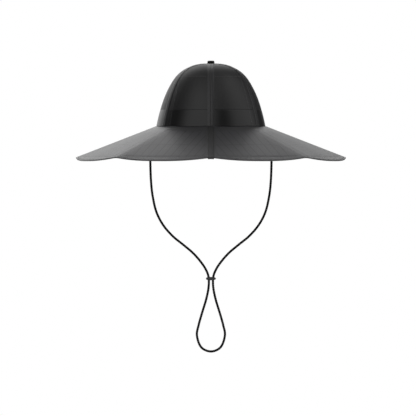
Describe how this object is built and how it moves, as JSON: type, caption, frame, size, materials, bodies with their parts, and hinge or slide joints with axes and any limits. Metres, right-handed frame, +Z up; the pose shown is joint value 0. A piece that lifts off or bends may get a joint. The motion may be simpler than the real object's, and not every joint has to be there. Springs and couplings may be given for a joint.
{
  "type": "solar panel hat",
  "caption": "Wide-brimmed sewn sun hat with solar sheets on its brim, a gored crown with a top button, and a chin cord that a slider draws into a loop.",
  "frame": {"origin": "middle of the head opening, on the seam between crown and brim, where the hat sits on a head", "axes": "+Z up through the crown's button, the wearer faces -Y, +X towards the tab and cord end at the wearer's left hand"},
  "size_m": [0.446, 0.4731, 0.4816],
  "materials": {
    "crown_cloth": "matt woven black cloth",
    "band_cloth": "smooth coated black cloth",
    "seam_tape": "woven black tape with stitched edges",
    "button": "cloth-covered, smooth",
    "brim_cloth": "stiffened dark grey cloth",
    "solar_sheet": "dark laminated cells under a fine matt film",
    "rim_edge": "black edge tape",
    "brim_tape": "black woven tape",
    "cord": "black braided cord",
    "slider": "dark grey, satin"
  },
  "bodies": {
    "root": {"crown_panel_1": "crown_cloth", "crown_panel_2": "crown_cloth", "crown_panel_3": "crown_cloth", "crown_panel_4": "crown_cloth", "crown_panel_5": "crown_cloth", "crown_panel_6": "crown_cloth", "crown_band_1": "band_cloth", "crown_band_2": "band_cloth", "crown_band_3": "band_cloth", "crown_band_4": "band_cloth", "crown_band_5": "band_cloth", "crown_band_6": "band_cloth", "crown_tape_1": "seam_tape", "crown_tape_2": "seam_tape", "crown_tape_3": "seam_tape", "crown_tape_4": "seam_tape", "crown_tape_5": "seam_tape", "crown_tape_6": "seam_tape", "crown_button": "button", "brim_panel_1": "brim_cloth", "brim_panel_2": "brim_cloth", "brim_panel_3": "brim_cloth", "brim_panel_4": "brim_cloth", "brim_panel_5": "brim_cloth", "brim_panel_6": "brim_cloth", "brim_panel_7": "brim_cloth", "brim_panel_8": "brim_cloth", "solar_sheet_1": "solar_sheet", "solar_sheet_2": "solar_sheet", "solar_sheet_3": "solar_sheet", "solar_sheet_4": "solar_sheet", "solar_sheet_5": "solar_sheet", "solar_sheet_6": "solar_sheet", "solar_sheet_7": "solar_sheet", "solar_sheet_8": "solar_sheet", "rim_edge": "rim_edge", "brim_tape": "brim_tape", "cord_tab_right": "brim_tape", "cord_tab_left": "brim_tape", "chin_cord": "cord", "cord_slider": "slider"}
  },
  "joints": []
}
